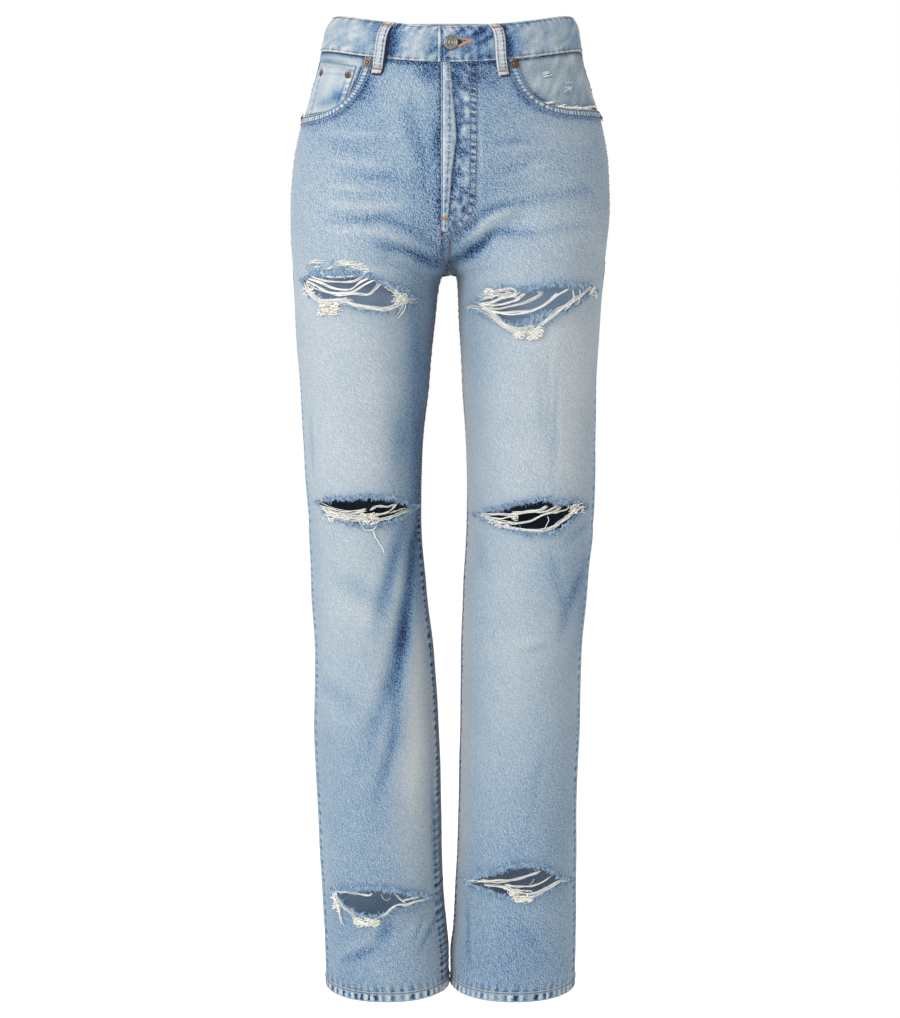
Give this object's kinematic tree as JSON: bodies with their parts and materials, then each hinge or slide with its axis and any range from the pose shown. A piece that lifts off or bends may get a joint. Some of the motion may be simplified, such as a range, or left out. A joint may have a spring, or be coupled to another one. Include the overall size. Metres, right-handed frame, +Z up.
{
  "type": "ripped jeans",
  "caption": "High-waisted straight-leg light-wash denim jeans, filled out as if worn, with torn thighs, knees and shins, buttoned waistband and curved front pockets.",
  "frame": {"origin": "centre of the waist, level with the waistband seam at the sides", "axes": "+X to the wearer's left, -Y out of the front, +Z up out of the waist"},
  "size_m": [0.3514, 0.2384, 1.0896],
  "materials": {
    "denim": "matte washed twill",
    "denim_pale": "matte, rubbed pale at the folds",
    "button_metal": "matte antique grey",
    "rivet_copper": "dull dark copper"
  },
  "bodies": {
    "root": {"back_left": "denim", "back_pocket_left": "denim", "back_pocket_right": "denim", "back_right": "denim", "belt_loop_back": "denim_pale", "belt_loop_front_left": "denim_pale", "belt_loop_front_right": "denim_pale", "belt_loop_side_left": "denim_pale", "belt_loop_side_right": "denim_pale", "coin_pocket": "denim", "fly_placket": "denim_pale", "front_left": "denim", "front_right": "denim", "hem_left": "denim", "hem_right": "denim", "pocket_facing_left": "denim", "pocket_facing_right": "denim", "rivet_coin_inner": "rivet_copper", "rivet_coin_outer": "rivet_copper", "rivet_pocket_left_inner": "rivet_copper", "rivet_pocket_left_outer": "rivet_copper", "rivet_pocket_right_inner": "rivet_copper", "rivet_pocket_right_outer": "rivet_copper", "waist_button": "button_metal", "waistband": "denim", "yoke_left": "denim", "yoke_right": "denim"}
  },
  "joints": []
}
